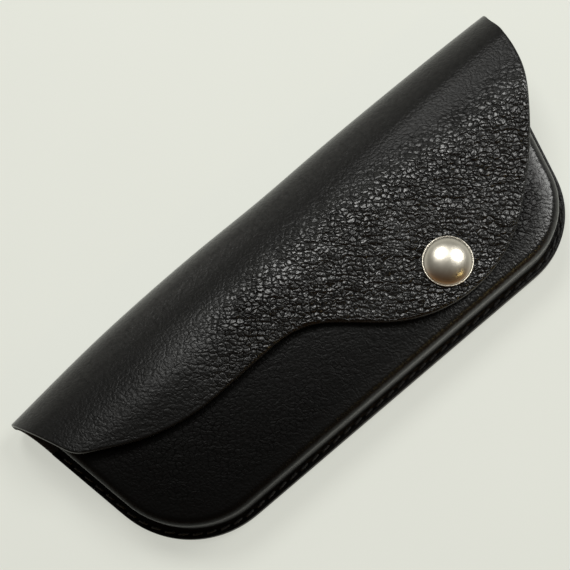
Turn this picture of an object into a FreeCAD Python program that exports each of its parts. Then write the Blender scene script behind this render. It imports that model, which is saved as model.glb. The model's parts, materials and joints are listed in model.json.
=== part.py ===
"""Spectacles case of wet-moulded leather with a snap flap, as a parametric document.

Millimetres, +Z up. The case lies on its back panel at z = 0, with the front of the pocket facing up.
+X runs along the rolled spine. +Y points from the bottom seam to the spine, where the pocket opens.
The origin is the centre of the footprint.

One sheet of leather makes the back panel, the rolled spine and the flap. The roll bends as the flap
opens, so it is cut here into narrow strips, each turning about a line at the middle of the leather.
"""
import FreeCAD, Part
import math
import os
import Sketcher

LEATHER = 1.8           # thickness of the hide
FRONT_TOP = 18.0        # top of the moulded front panel
FLAP_UNDERSIDE = 20.35  # inner face of the closed flap
MOUTH_Y = 19.6          # edge of the front panel, where the pocket opens
STRIP_COUNT = 6         # strips of leather in the spine roll
SNAP_X = 31.8
SNAP_Y = -16.8

FLAP_TOP = FLAP_UNDERSIDE + LEATHER
ROLL_OUTER = FLAP_TOP / 2
ROLL_INNER = ROLL_OUTER - LEATHER
SPINE_Y = 23.125        # axis of the roll
STRIP_PITCH = 180 / (STRIP_COUNT + 1)
STRIP_GAP = 3.6         # degrees left free between strips, so that they clear each other when flat
ROLL_END = 87.0         # half length of the roll where it meets the panels
ROLL_FLARE = 4.1        # how much further the ends reach at the middle of the roll

# The three seamed sides of the back panel: a point of each, its direction, and the corner radii.
LEFT_SIDE = ((-88.6, SPINE_Y), (6.4, -37.8))
BOTTOM_SIDE = ((-58.6, -32.5), (105.1, -1.7))
RIGHT_SIDE = ((87.0, SPINE_Y), (-11.6, -38.9))
LEFT_CORNER_RADIUS = 29.5
RIGHT_CORNER_RADIUS = 24.5

# Inset of the moulded wall from the seam edge on the left, bottom and right sides.
WALL_INSETS = (3.5, 2.4, 3.2)
SEAM_INSET = 1.5        # line of stitching, from the edge
GROOVE_WIDTH = 0.9
STITCH_PITCH = 4.0
STITCH_LENGTH = 3.1
SEAM_END = 2.5          # distance of the last stitch from the mouth

# Levels in the snap fastener, from the pocket up.
EYELET_BOTTOM = FRONT_TOP - LEATHER - 0.35
STUD_SEAT = FRONT_TOP - 0.6
SOCKET_SEAT = FLAP_UNDERSIDE + 0.6
CAP_SEAT = FLAP_TOP - 0.3
SOCKET_BOTTOM = FRONT_TOP + 0.3
SHEET_METAL = 0.37

SIZES = {
    "leather": LEATHER,
    "back_thickness": LEATHER,
    "flap_underside": FLAP_UNDERSIDE,
    "roll_z": ROLL_OUTER,
    "spine_y": SPINE_Y,
    "strip_angle": STRIP_PITCH - STRIP_GAP,
    "lip_angle": (STRIP_PITCH - STRIP_GAP) / 2,
    "front_top": FRONT_TOP,
    "front_rise": FRONT_TOP - LEATHER,
    "pocket_depth": FRONT_TOP - 2 * LEATHER,
    "shoulder_radius": 3.5,
    "inner_shoulder_radius": 1.7,
    "valley_radius": 1.0,
    "flange_top": 2 * LEATHER,
    "groove_depth": 0.55,
    "groove_cut_top": 2 * LEATHER + 0.5,    # clears the foot of the wall beside the stitches
    "groove_cut_depth": 0.55 + 0.5,
    "snap_x": SNAP_X,
    "snap_y": SNAP_Y,
    "stud_recess_radius": 4.6,
    "stud_recess_depth": FRONT_TOP - STUD_SEAT,
    "eyelet_hole_radius": 1.35,
    "socket_recess_radius": 6.1,
    "socket_recess_depth": SOCKET_SEAT - FLAP_UNDERSIDE,
    "cap_recess_radius": 7.35,
    "cap_recess_depth": FLAP_TOP - CAP_SEAT,
    "post_hole_radius": 1.95,
    "flap_top": FLAP_TOP,
    "spring_radius": 2.65,
    "spring_wire_radius": 0.38,
    "spring_level": SOCKET_BOTTOM + SHEET_METAL + 0.4,
    "spring_angle": 325.0,
    "front_thread_radius": 0.36,
    "back_thread_radius": 0.24,
}


def shifted(side, inset, sign):
    """A side of the pocket moved inwards by inset."""
    (x, y), (dx, dy) = side
    length = math.hypot(dx, dy)
    return (x - sign * dy / length * inset, y + sign * dx / length * inset), (dx, dy)


def crossing(first, second):
    """Where two sides meet."""
    (ax, ay), (adx, ady) = first
    (bx, by), (bdx, bdy) = second
    along = ((bx - ax) * bdy - (by - ay) * bdx) / (adx * bdy - ady * bdx)
    return ax + along * adx, ay + along * ady


def pocket_corners(insets, top_y, top_insets=None):
    """Corners (x, y, radius) of the pocket's outline, set in from the seam edge, up to y = top_y."""
    left = shifted(LEFT_SIDE, insets[0], 1)
    bottom = shifted(BOTTOM_SIDE, insets[1], 1)
    right = shifted(RIGHT_SIDE, insets[2], -1)
    mouth = ((0, top_y), (1, 0))
    left_radius = LEFT_CORNER_RADIUS - (insets[0] + insets[1]) / 2
    right_radius = RIGHT_CORNER_RADIUS - (insets[1] + insets[2]) / 2
    return [
        crossing(left, mouth) + (0,),
        crossing(left, bottom) + (left_radius,),
        crossing(bottom, right) + (right_radius,),
        crossing(right, mouth) + (0,),
    ]


def seam_corners(top_y):
    """A band one groove wide along the stitch line, open at the mouth."""
    outer = pocket_corners([SEAM_INSET - GROOVE_WIDTH / 2] * 3, top_y)
    inner = pocket_corners([SEAM_INSET + GROOVE_WIDTH / 2] * 3, top_y)
    return outer + inner[::-1]


def roll_section(half_length, low, high):
    """Rectangle whose turn about the roll's axis makes a strip of leather."""
    return [(-half_length, low, 0), (half_length, low, 0), (half_length, high, 0), (-half_length, high, 0)]


def cavity_corners():
    """Inside of the moulded front, carried past the mouth so that it cuts the pocket open."""
    return pocket_corners([inset + LEATHER for inset in WALL_INSETS], MOUTH_Y + 4)


FLAP_CORNERS = [
    (-86.1, SPINE_Y, 0),
    (-81.5, 11.2, 8),       # shoulder at the left end
    (-57.2, -2.5, 60),      # long shallow sweep
    (-9.9, -2.3, 24),       # where the edge turns down to the tongue
    (30.8, -39.2, 39.5),    # round of the tongue
    (71.8, -8.3, 80),
    (86.6, 12.4, 40),
    (88.2, SPINE_Y, 0),
]

SNAP_TOP = 25.2
DOME_FOOT = 22.6
RIM_TOP = 22.85
CAP_RADIUS = 7.25
POST_FLANGE_TOP = CAP_SEAT + 0.3
INNER_FOOT = DOME_FOOT - 0.3

CAP_SECTION = [
    (0, SNAP_TOP, 0),
    (3.77, SNAP_TOP, 9.2),
    (6.5, DOME_FOOT, 0),
    (6.62, RIM_TOP, 0),
    (CAP_RADIUS, RIM_TOP, 0.3),
    (CAP_RADIUS, CAP_SEAT, 0),
    (6.3, CAP_SEAT, 0),
    (6.3, INNER_FOOT, 0),
    (3.67, SNAP_TOP - SHEET_METAL, 8.8),
    (0, SNAP_TOP - SHEET_METAL, 0),
]

PLATE_UNDERSIDE = SOCKET_SEAT - 0.4
POST_SECTION = [
    (0, POST_FLANGE_TOP, 0),
    (6.3, POST_FLANGE_TOP, 0),
    (6.3, CAP_SEAT, 0),
    (1.9, CAP_SEAT, 0),
    (1.9, PLATE_UNDERSIDE, 0),
    (2.6, PLATE_UNDERSIDE, 0),
    (2.6, PLATE_UNDERSIDE - 0.3, 0.15),
    (1.4, PLATE_UNDERSIDE - 0.3, 0),
    (1.4, CAP_SEAT, 0),
    (0, CAP_SEAT, 0),
]

SOCKET_SECTION = [
    (1.95, SOCKET_SEAT, 0),
    (1.95, PLATE_UNDERSIDE, 0),
    (5.6, PLATE_UNDERSIDE, 0),
    (5.6, SOCKET_BOTTOM + SHEET_METAL, 0),
    (2.95, SOCKET_BOTTOM + SHEET_METAL, 0),
    (2.95, SOCKET_BOTTOM, 0),
    (6.0, SOCKET_BOTTOM, 0.3),
    (6.0, SOCKET_SEAT, 0.3),
]

STUD_BASE_TOP = STUD_SEAT + 0.4
STUD_HEAD_TOP = STUD_SEAT + 2.55
STUD_SECTION = [
    (1.35, STUD_SEAT, 0),
    (4.5, STUD_SEAT, 0),
    (4.5, STUD_BASE_TOP, 0.2),
    (1.9, STUD_BASE_TOP, 0),
    (1.9, STUD_HEAD_TOP - 0.6, 0),
    (2.4, STUD_HEAD_TOP - 0.4, 0.1),
    (2.4, STUD_HEAD_TOP - 0.15, 0.1),
    (2.15, STUD_HEAD_TOP, 0),
    (1.6, STUD_HEAD_TOP, 0),
    (1.6, STUD_BASE_TOP - 0.05, 0),
    (1.35, STUD_BASE_TOP - 0.05, 0),
]

EYELET_SECTION = [
    (0.95, EYELET_BOTTOM, 0),
    (4.5, EYELET_BOTTOM, 0.2),
    (4.5, FRONT_TOP - LEATHER, 0),
    (1.3, FRONT_TOP - LEATHER, 0),
    (1.3, STUD_BASE_TOP - 0.03, 0),
    (1.55, STUD_BASE_TOP - 0.03, 0),
    (1.55, STUD_BASE_TOP + 0.3, 0.12),
    (0.95, STUD_BASE_TOP + 0.3, 0),
]

OUTLINES = {
    "back": pocket_corners([0, 0, 0], SPINE_Y),
    "back_lip": roll_section(ROLL_END, -ROLL_OUTER, -ROLL_INNER),
    "back_groove": seam_corners(MOUTH_Y - SEAM_END),
    "flange": pocket_corners([0, 0, 0], MOUTH_Y),
    "wall": pocket_corners(WALL_INSETS, MOUTH_Y),
    "cavity": cavity_corners(),
    "front_groove": seam_corners(MOUTH_Y - SEAM_END),
    "flap": FLAP_CORNERS,
    "flap_lip": roll_section(ROLL_END, ROLL_INNER, ROLL_OUTER),
    "cap": CAP_SECTION,
    "post": POST_SECTION,
    "socket": SOCKET_SECTION,
    "stud": STUD_SECTION,
    "eyelet": EYELET_SECTION,
}
for number in range(1, STRIP_COUNT + 1):
    half_length = ROLL_END + ROLL_FLARE * math.sin(math.radians(number * STRIP_PITCH))
    OUTLINES[f"strip_{number}"] = roll_section(half_length, -ROLL_OUTER, -ROLL_INNER)


def fill_sheet(doc):
    """Put every size, and every corner of every outline, in a cell of its own."""
    sheet = doc.addObject("Spreadsheet::Sheet", "sizes")
    cells = dict(SIZES)
    for outline, corners in OUTLINES.items():
        for place, (x, y, radius) in enumerate(corners):
            cells[f"{outline}_corner_{place}_x"] = x
            cells[f"{outline}_corner_{place}_y"] = y
            if radius:
                cells[f"{outline}_corner_{place}_radius"] = radius
    for row, (alias, value) in enumerate(cells.items(), 1):
        sheet.set(f"A{row}", alias)
        sheet.set(f"B{row}", repr(round(value, 5)))
        sheet.setAlias(f"B{row}", alias)
    doc.recompute()
    return sheet


def origin_plane(body, role):
    """One of the body's own origin planes."""
    return next(feature for feature in body.Origin.OriginFeatures if feature.Role == role)


def new_sketch(body, name, role, offset=()):
    """Sketch on an origin plane. offset lists (axis, cell) pairs that move it off that plane."""
    sketch = body.newObject("Sketcher::SketchObject", name)
    sketch.AttachmentSupport = [(origin_plane(body, role), "")]
    sketch.MapMode = "FlatFace"
    for axis, cell in offset:
        sketch.setExpression(f"AttachmentOffset.Base.{axis}", cell)
    return sketch


def corner_arc(before, corner, after, radius):
    """Arc that rounds a corner, and whether the outline turns left there."""
    point = FreeCAD.Vector(*corner, 0)
    arriving = (point - FreeCAD.Vector(*before, 0)).normalize()
    leaving = (FreeCAD.Vector(*after, 0) - point).normalize()
    turn = math.atan2(arriving.x * leaving.y - arriving.y * leaving.x, arriving.dot(leaving))
    tangent = radius * math.tan(abs(turn) / 2)
    start = point - arriving * tangent
    end = point + leaving * tangent
    side = 1 if turn > 0 else -1
    centre = start + FreeCAD.Vector(-arriving.y, arriving.x, 0) * radius * side
    first, last = (start, end) if side > 0 else (end, start)
    angles = [math.atan2(p.y - centre.y, p.x - centre.x) for p in (first, last)]
    circle = Part.Circle(centre, FreeCAD.Vector(0, 0, 1), radius)
    return Part.ArcOfCircle(circle, *angles), start, end, side > 0


def pin_point(sketch, geometry, vertex, x, y, stem):
    """Hold a sketch point at (x, y), bound to the cells stem_x and stem_y."""
    for kind, value, axis, letter in (("DistanceX", x, -2, "x"), ("DistanceY", y, -1, "y")):
        if abs(value) < 1e-6:
            sketch.addConstraint(Sketcher.Constraint("PointOnObject", geometry, vertex, axis))
            continue
        index = sketch.addConstraint(Sketcher.Constraint(kind, -1, 1, geometry, vertex, value))
        sketch.renameConstraint(index, f"{stem}_{letter}")
        sketch.setExpression(f"Constraints.{stem}_{letter}", f"sizes.{stem}_{letter}")


def draw_outline(sketch, outline):
    """Draw a closed outline of straight sides and tangent corner arcs, fully constrained."""
    corners = OUTLINES[outline]
    count = len(corners)
    points = [corner[:2] for corner in corners]
    starts = [FreeCAD.Vector(*point, 0) for point in points]
    ends = list(starts)
    arcs = {}
    for place, (x, y, radius) in enumerate(corners):
        if radius:
            arc, start, end, left = corner_arc(points[place - 1], (x, y), points[(place + 1) % count], radius)
            arcs[place] = (arc, left)
            ends[place] = start
            starts[place] = end
    sides = [
        sketch.addGeometry(Part.LineSegment(starts[place], ends[(place + 1) % count]))
        for place in range(count)
    ]
    for place, (x, y, radius) in enumerate(corners):
        stem = f"{outline}_corner_{place}"
        arriving = sides[place - 1]
        leaving = sides[place]
        if not radius:
            sketch.addConstraint(Sketcher.Constraint("Coincident", arriving, 2, leaving, 1))
            pin_point(sketch, leaving, 1, x, y, stem)
            continue
        arc, left = arcs[place]
        round_corner = sketch.addGeometry(arc)
        first, last = (1, 2) if left else (2, 1)
        sketch.addConstraint(Sketcher.Constraint("Tangent", arriving, 2, round_corner, first))
        sketch.addConstraint(Sketcher.Constraint("Tangent", round_corner, last, leaving, 1))
        index = sketch.addConstraint(Sketcher.Constraint("Radius", round_corner, radius))
        sketch.renameConstraint(index, f"{stem}_radius")
        sketch.setExpression(f"Constraints.{stem}_radius", f"sizes.{stem}_radius")
        corner = sketch.addGeometry(Part.Point(FreeCAD.Vector(x, y, 0)), True)
        sketch.addConstraint(Sketcher.Constraint("PointOnObject", corner, 1, arriving))
        sketch.addConstraint(Sketcher.Constraint("PointOnObject", corner, 1, leaving))
        pin_point(sketch, corner, 1, x, y, stem)


def new_body(doc, label):
    body = doc.addObject("PartDesign::Body", label)
    body.Label = label
    return body


def pad(body, name, outline, level, height):
    """Slab of the outline's shape, standing on z = level."""
    sketch = new_sketch(body, f"{name}_sketch", "XY_Plane", [("z", level)] if level else ())
    draw_outline(sketch, outline)
    feature = body.newObject("PartDesign::Pad", name)
    feature.Profile = sketch
    feature.setExpression("Length", height)
    return feature


def cut(body, name, sketch, depth, upward):
    """Pocket from a sketch, and proof that it removed material."""
    body.Document.recompute()
    before = body.Shape.Volume
    feature = body.newObject("PartDesign::Pocket", name)
    feature.Profile = sketch
    feature.Reversed = upward
    feature.setExpression("Length", depth)
    body.Document.recompute()
    if body.Shape.Volume > before - 1e-3:
        raise RuntimeError(f"{name} cut nothing")
    return feature


def cut_outline(body, name, outline, level, depth, upward):
    sketch = new_sketch(body, f"{name}_sketch", "XY_Plane", [("z", level)] if level else ())
    draw_outline(sketch, outline)
    return cut(body, name, sketch, depth, upward)


def cut_circle(body, name, radius, level, depth, upward):
    """Round recess or hole on the snap's axis."""
    sketch = new_sketch(body, f"{name}_sketch", "XY_Plane", [("z", level)])
    centre = FreeCAD.Vector(SIZES["snap_x"], SIZES["snap_y"], 0)
    circle = sketch.addGeometry(Part.Circle(centre, FreeCAD.Vector(0, 0, 1), SIZES[radius]))
    for kind, vertex, cell, value in (("DistanceX", 3, "snap_x", SNAP_X), ("DistanceY", 3, "snap_y", SNAP_Y)):
        index = sketch.addConstraint(Sketcher.Constraint(kind, -1, 1, circle, vertex, value))
        sketch.renameConstraint(index, cell)
        sketch.setExpression(f"Constraints.{cell}", f"sizes.{cell}")
    index = sketch.addConstraint(Sketcher.Constraint("Radius", circle, SIZES[radius]))
    sketch.renameConstraint(index, "radius")
    sketch.setExpression("Constraints.radius", f"sizes.{radius}")
    return cut(body, name, sketch, depth, upward)


def fillet(body, name, base, radius, wanted):
    """Round the edges of a feature for which wanted(edge) holds."""
    body.Document.recompute()
    names = [f"Edge{place}" for place, edge in enumerate(base.Shape.Edges, 1) if wanted(edge)]
    feature = body.newObject("PartDesign::Fillet", name)
    feature.Base = (base, names)
    feature.setExpression("Radius", f"sizes.{radius}")
    body.Document.recompute()
    return feature


def lies_at(edge, level):
    """Whether every point of the edge has the height level."""
    box = edge.BoundBox
    return abs(box.ZMin - level) < 0.01 and abs(box.ZMax - level) < 0.01


def at_mouth(edge, mouth):
    """Whether the edge lies in the plane y = mouth."""
    box = edge.BoundBox
    return abs(box.YMin - mouth) < 0.01 and abs(box.YMax - mouth) < 0.01


def turn(body, name, outline, axis, angle, offset=(), reverse=False, midplane=False):
    """Revolve an outline of the XZ plane about the sketch's own axis."""
    sketch = new_sketch(body, f"{name}_sketch", "XZ_Plane", offset)
    draw_outline(sketch, outline)
    feature = body.newObject("PartDesign::Revolution", name)
    feature.Profile = sketch
    feature.ReferenceAxis = (sketch, [axis])
    feature.Midplane = midplane
    feature.Reversed = reverse
    feature.setExpression("Angle", angle)
    return feature


ROLL_AXIS = [("y", "sizes.roll_z"), ("z", "-sizes.spine_y")]


def make_back_panel(doc):
    """Flat back of the case, with the start of the spine's bend and a groove for the seam."""
    body = new_body(doc, "back_panel")
    pad(body, "back_slab", "back", None, "sizes.back_thickness")
    turn(body, "back_bend", "back_lip", "H_Axis", "sizes.lip_angle", ROLL_AXIS)
    cut_outline(body, "back_seam_groove", "back_groove", None, "sizes.groove_depth", True)
    return body


def make_front_panel(doc):
    """Moulded front of the pocket: a flange on the back panel, an upright wall and a raised top."""
    body = new_body(doc, "front_panel")
    pad(body, "seam_flange", "flange", "sizes.leather", "sizes.leather")
    block = pad(body, "moulded_block", "wall", "sizes.leather", "sizes.front_rise")
    shoulder = fillet(
        body, "shoulder", block, "shoulder_radius",
        lambda edge: lies_at(edge, FRONT_TOP) and not at_mouth(edge, MOUTH_Y),
    )
    flange_top = SIZES["flange_top"]
    fillet(
        body, "valley", shoulder, "valley_radius",
        lambda edge: lies_at(edge, flange_top) and not at_mouth(edge, MOUTH_Y) and is_wall_foot(edge),
    )
    cavity = cut_outline(body, "cavity", "cavity", "sizes.leather", "sizes.pocket_depth", True)
    ceiling = FRONT_TOP - LEATHER
    fillet(
        body, "inner_shoulder", cavity, "inner_shoulder_radius",
        lambda edge: lies_at(edge, ceiling) and not at_mouth(edge, MOUTH_Y),
    )
    cut_outline(body, "front_seam_groove", "front_groove", "sizes.groove_cut_top", "sizes.groove_cut_depth",
                False)
    cut_circle(body, "stud_recess", "stud_recess_radius", "sizes.front_top", "sizes.stud_recess_depth", False)
    cut_circle(body, "eyelet_hole", "eyelet_hole_radius", "sizes.front_top", "2 * sizes.leather", False)
    return body


def is_wall_foot(edge):
    """Whether an edge of the flange's top lies at the wall and not at the seam edge."""
    middle = edge.valueAt((edge.FirstParameter + edge.LastParameter) / 2)
    face_edges = pocket_wire("wall").distToShape(Part.Vertex(middle.x, middle.y, 0))
    return face_edges[0] < 0.05


def pocket_wire(outline):
    """Path of an outline's three sides and two round corners, at z = 0, from left to right."""
    corners = OUTLINES[outline]
    edges = []
    start = FreeCAD.Vector(*corners[0][:2], 0)
    for place in (1, 2):
        x, y, radius = corners[place]
        arc, first, last, _ = corner_arc(corners[place - 1][:2], (x, y), corners[place + 1][:2], radius)
        edges += [Part.LineSegment(start, first).toShape(), arc.toShape()]
        start = last
    edges.append(Part.LineSegment(start, FreeCAD.Vector(*corners[3][:2], 0)).toShape())
    return Part.Wire(edges)


def make_flap(doc):
    """Flap from the end of the spine's bend to the tongue that carries the snap's cap."""
    body = new_body(doc, "flap")
    pad(body, "flap_slab", "flap", "sizes.flap_underside", "sizes.leather")
    turn(body, "flap_bend", "flap_lip", "H_Axis", "sizes.lip_angle", ROLL_AXIS, reverse=True)
    cut_circle(body, "socket_recess", "socket_recess_radius", "sizes.flap_underside",
               "sizes.socket_recess_depth", True)
    cut_circle(body, "cap_recess", "cap_recess_radius", "sizes.flap_top", "sizes.cap_recess_depth", False)
    cut_circle(body, "post_hole", "post_hole_radius", "sizes.flap_top", "2 * sizes.leather", False)
    return body


def make_strip(doc, number):
    """One strip of the rolled spine, made at the bottom of the roll and turned to its place."""
    body = new_body(doc, f"spine_strip_{number}")
    turn(body, f"strip_bend_{number}", f"strip_{number}", "H_Axis", "sizes.strip_angle", midplane=True)
    place = FreeCAD.Vector(0, SIZES["spine_y"], SIZES["roll_z"])
    body.Placement = FreeCAD.Placement(place, FreeCAD.Rotation(FreeCAD.Vector(1, 0, 0), number * STRIP_PITCH))
    return body


def make_snap_piece(doc, label, outline):
    """A turned piece of the snap on its upright axis."""
    body = new_body(doc, label)
    turn(body, f"{label}_turning", outline, "V_Axis", "360")
    body.setExpression("Placement.Base.x", "sizes.snap_x")
    body.setExpression("Placement.Base.y", "sizes.snap_y")
    return body


def make_spring(doc):
    """Split ring of wire in the socket, which grips the stud under its head."""
    body = new_body(doc, "socket_spring")
    sketch = new_sketch(body, "wire_sketch", "XZ_Plane")
    centre = FreeCAD.Vector(SIZES["spring_radius"], SIZES["spring_level"], 0)
    wire = sketch.addGeometry(Part.Circle(centre, FreeCAD.Vector(0, 0, 1), SIZES["spring_wire_radius"]))
    for kind, cell in (("DistanceX", "spring_radius"), ("DistanceY", "spring_level")):
        index = sketch.addConstraint(Sketcher.Constraint(kind, -1, 1, wire, 3, SIZES[cell]))
        sketch.renameConstraint(index, cell)
        sketch.setExpression(f"Constraints.{cell}", f"sizes.{cell}")
    index = sketch.addConstraint(Sketcher.Constraint("Radius", wire, SIZES["spring_wire_radius"]))
    sketch.renameConstraint(index, "wire_radius")
    sketch.setExpression("Constraints.wire_radius", "sizes.spring_wire_radius")
    ring = body.newObject("PartDesign::Revolution", "ring")
    ring.Profile = sketch
    ring.ReferenceAxis = (sketch, ["V_Axis"])
    ring.setExpression("Angle", "sizes.spring_angle")
    body.setExpression("Placement.Base.x", "sizes.snap_x")
    body.setExpression("Placement.Base.y", "sizes.snap_y")
    return body


def make_stitches(doc, label, level, radius):
    """Row of stitches along the seam, each a short straight length of thread lying in the groove."""
    path = pocket_wire("stitch_line")
    count = int(path.Length / STITCH_PITCH)
    points = path.discretize(Number=2 * count + 1)
    stitches = []
    for place in range(count):
        middle = points[2 * place + 1]
        along = (points[2 * place + 2] - points[2 * place]).normalize()
        start = middle - along * (STITCH_LENGTH / 2) + FreeCAD.Vector(0, 0, level)
        stitches.append(Part.makeCylinder(radius, STITCH_LENGTH, start, along))
    feature = doc.addObject("Part::Feature", label)
    feature.Label = label
    feature.Shape = Part.makeCompound(stitches)
    feature.Placement = FreeCAD.Placement()
    return feature


def make_model(doc):
    """Every sub-part of the case."""
    groove = SIZES["groove_depth"]
    front_radius = SIZES["front_thread_radius"]
    back_radius = SIZES["back_thread_radius"]
    pieces = [make_back_panel(doc), make_front_panel(doc), make_flap(doc)]
    pieces += [make_strip(doc, number) for number in range(1, STRIP_COUNT + 1)]
    pieces += [
        make_snap_piece(doc, "snap_cap", "cap"),
        make_snap_piece(doc, "snap_cap_post", "post"),
        make_snap_piece(doc, "snap_socket", "socket"),
        make_snap_piece(doc, "snap_stud", "stud"),
        make_snap_piece(doc, "snap_eyelet", "eyelet"),
        make_spring(doc),
        make_stitches(doc, "seam_thread_front", SIZES["flange_top"] - groove + front_radius, front_radius),
        make_stitches(doc, "seam_thread_back", groove - back_radius, back_radius),
    ]
    return pieces


def check(doc, pieces):
    """Stop at any object that failed, or any sub-part without a sound shape."""
    for item in doc.Objects:
        if "Invalid" in item.State or "Error" in item.State:
            raise RuntimeError(f"{item.Label} failed: {item.State}")
    for piece in pieces:
        if piece.Shape.isNull() or not piece.Shape.isValid():
            raise RuntimeError(f"{piece.Label} has no valid shape")


def main():
    OUTLINES["stitch_line"] = pocket_corners([SEAM_INSET] * 3, MOUTH_Y - SEAM_END - 0.3)
    doc = FreeCAD.newDocument("spectacles_case")
    fill_sheet(doc)
    pieces = make_model(doc)
    doc.recompute()
    check(doc, pieces)
    os.makedirs("parts", exist_ok=True)
    for piece in pieces:
        piece.Shape.exportStep(f"parts/{piece.Label}.step")
        box = piece.Shape.BoundBox
        print(f"{piece.Label}: {piece.Shape.Volume:.1f} mm3, "
              f"x {box.XMin:.2f} {box.XMax:.2f}, y {box.YMin:.2f} {box.YMax:.2f}, z {box.ZMin:.2f} {box.ZMax:.2f}")


main()
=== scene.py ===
"""Looks of the moulded leather spectacles case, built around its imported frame. Metres, +Z up."""
import json
import math

import bpy
import numpy as np
from mathutils import Matrix, Vector, geometry, noise


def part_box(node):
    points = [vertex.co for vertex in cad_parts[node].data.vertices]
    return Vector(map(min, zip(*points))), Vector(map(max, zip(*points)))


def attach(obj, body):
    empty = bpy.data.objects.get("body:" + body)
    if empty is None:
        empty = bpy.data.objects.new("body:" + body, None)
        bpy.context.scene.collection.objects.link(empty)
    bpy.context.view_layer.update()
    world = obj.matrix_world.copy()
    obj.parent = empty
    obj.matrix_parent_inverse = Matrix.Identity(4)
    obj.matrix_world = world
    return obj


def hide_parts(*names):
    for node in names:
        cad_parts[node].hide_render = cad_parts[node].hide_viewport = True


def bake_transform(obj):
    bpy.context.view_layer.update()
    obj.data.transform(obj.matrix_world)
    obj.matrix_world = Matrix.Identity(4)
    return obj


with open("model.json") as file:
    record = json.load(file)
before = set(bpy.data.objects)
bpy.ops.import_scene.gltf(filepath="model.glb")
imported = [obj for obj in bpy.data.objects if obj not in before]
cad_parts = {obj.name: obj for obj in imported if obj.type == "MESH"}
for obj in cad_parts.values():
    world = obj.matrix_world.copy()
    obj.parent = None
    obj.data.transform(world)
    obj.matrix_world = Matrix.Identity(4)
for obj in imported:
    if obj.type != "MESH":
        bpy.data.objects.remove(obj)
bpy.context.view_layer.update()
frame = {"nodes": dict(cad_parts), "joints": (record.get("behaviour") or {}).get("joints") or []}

MM = 0.001

# ---------------------------------------------------------------- measures taken from the frame

HINGES = [np.array(joint["pos_m"][1:]) / MM for joint in frame["joints"]]
ROLL_Z = (HINGES[0][1] + HINGES[-1][1]) / 2
ROLL_BACK_Y = HINGES[len(HINGES) // 2][0]
_reach = HINGES[0] - np.array([ROLL_BACK_Y, ROLL_Z])
ROLL_RADIUS = -(_reach @ _reach) / (2 * _reach[0])
ROLL_Y = ROLL_BACK_Y - ROLL_RADIUS
ROLL_LENGTH = math.pi * ROLL_RADIUS
HINGE_COUNT = len(HINGES)


def node_box(node):
    """Lowest and highest corners of a CAD node, in millimetres."""
    low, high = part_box(node)
    return np.array(low) / MM, np.array(high) / MM


FLAP_TOP = node_box("flap")[1][2]
LEATHER = FLAP_TOP - 2 * ROLL_RADIUS
HALF = LEATHER / 2
FRONT_TOP = node_box("front_panel")[1][2]
MOUTH_Y = node_box("front_panel")[1][1]
SPINE_REACH = node_box("spine_strip_3")[1][0]
CAP_LOW, CAP_HIGH = node_box("snap_cap")
SNAP = (CAP_LOW + CAP_HIGH)[:2] / 2
CAP_RADIUS = (CAP_HIGH[0] - CAP_LOW[0]) / 2


def triangles(node):
    """Corners of a CAD node's triangles, in millimetres."""
    mesh = frame["nodes"][node].data
    mesh.calc_loop_triangles()
    points = np.array([vertex.co for vertex in mesh.vertices]) / MM
    return points[np.array([triangle.vertices for triangle in mesh.loop_triangles])]


def flat_outline(node, height):
    """Longest loop round the level faces of a node at a height, counter-clockwise."""
    corners = triangles(node)
    level = corners[np.all(np.abs(corners[:, :, 2] - height) < 0.005, axis=1)][:, :, :2]
    sides = {}
    for triangle in level:
        keys = [tuple(np.round(corner, 3)) for corner in triangle]
        area = np.cross(triangle[1] - triangle[0], triangle[2] - triangle[0])
        if area < 0:
            keys.reverse()
        for start, end in zip(keys, keys[1:] + keys[:1]):
            if (end, start) in sides:
                del sides[(end, start)]
            else:
                sides[(start, end)] = True
    following = {start: end for start, end in sides}
    loops = []
    while following:
        start, point = following.popitem()
        loop = [start]
        while point in following:
            loop.append(point)
            point = following.pop(point)
        loops.append(np.array(loop))
    return max(loops, key=lambda loop: np.ptp(loop[:, 0]) + np.ptp(loop[:, 1]) + len(loop) * 1e-6)


def free_side(node, height, limit):
    """Outline of a node at a height from its left end on y = limit, by the low-y side, to its right end."""
    loop = flat_outline(node, height)
    ends = np.flatnonzero(np.abs(loop[:, 1] - limit) < 0.02)
    loop = np.roll(loop, -ends[np.argmin(loop[ends, 0])], axis=0)
    right = np.flatnonzero((np.abs(loop[:, 1] - limit) < 0.02) & (loop[:, 0] > 0))
    return loop[:right[0] + 1]


def resample(path, step):
    """Points evenly spaced along a path, about step apart, with the facets of the CAD mesh smoothed away."""
    lengths = np.concatenate([[0], np.cumsum(np.linalg.norm(np.diff(path, axis=0), axis=1))])
    fine = np.linspace(0, lengths[-1], int(lengths[-1] / 0.25))
    dense = np.stack([np.interp(fine, lengths, path[:, axis]) for axis in range(2)], 1)
    kernel = np.exp(-np.linspace(-2.5, 2.5, 41) ** 2)
    kernel /= kernel.sum()
    pad = len(kernel) // 2
    for axis in range(2):
        line = dense[:, axis]
        extended = np.concatenate([2 * line[0] - line[pad:0:-1], line, 2 * line[-1] - line[-2:-pad - 2:-1]])
        dense[:, axis] = np.convolve(extended, kernel, "valid")
    count = max(2, int(round(lengths[-1] / step)))
    wanted = np.linspace(0, len(dense) - 1, count + 1)
    return np.stack([np.interp(wanted, np.arange(len(dense)), dense[:, axis]) for axis in range(2)], 1)


def inward_normals(path):
    """Unit normals to the left of a path."""
    along = np.gradient(path, axis=0)
    along /= np.linalg.norm(along, axis=1)[:, None]
    return np.stack([-along[:, 1], along[:, 0]], 1)


# ---------------------------------------------------------------- helpers


def smooth_step(low, high, value):
    share = np.clip((value - low) / (high - low), 0, 1)
    return share * share * (3 - 2 * share)


def bell(distance, width):
    return np.exp(-(distance / width) ** 2)


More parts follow.
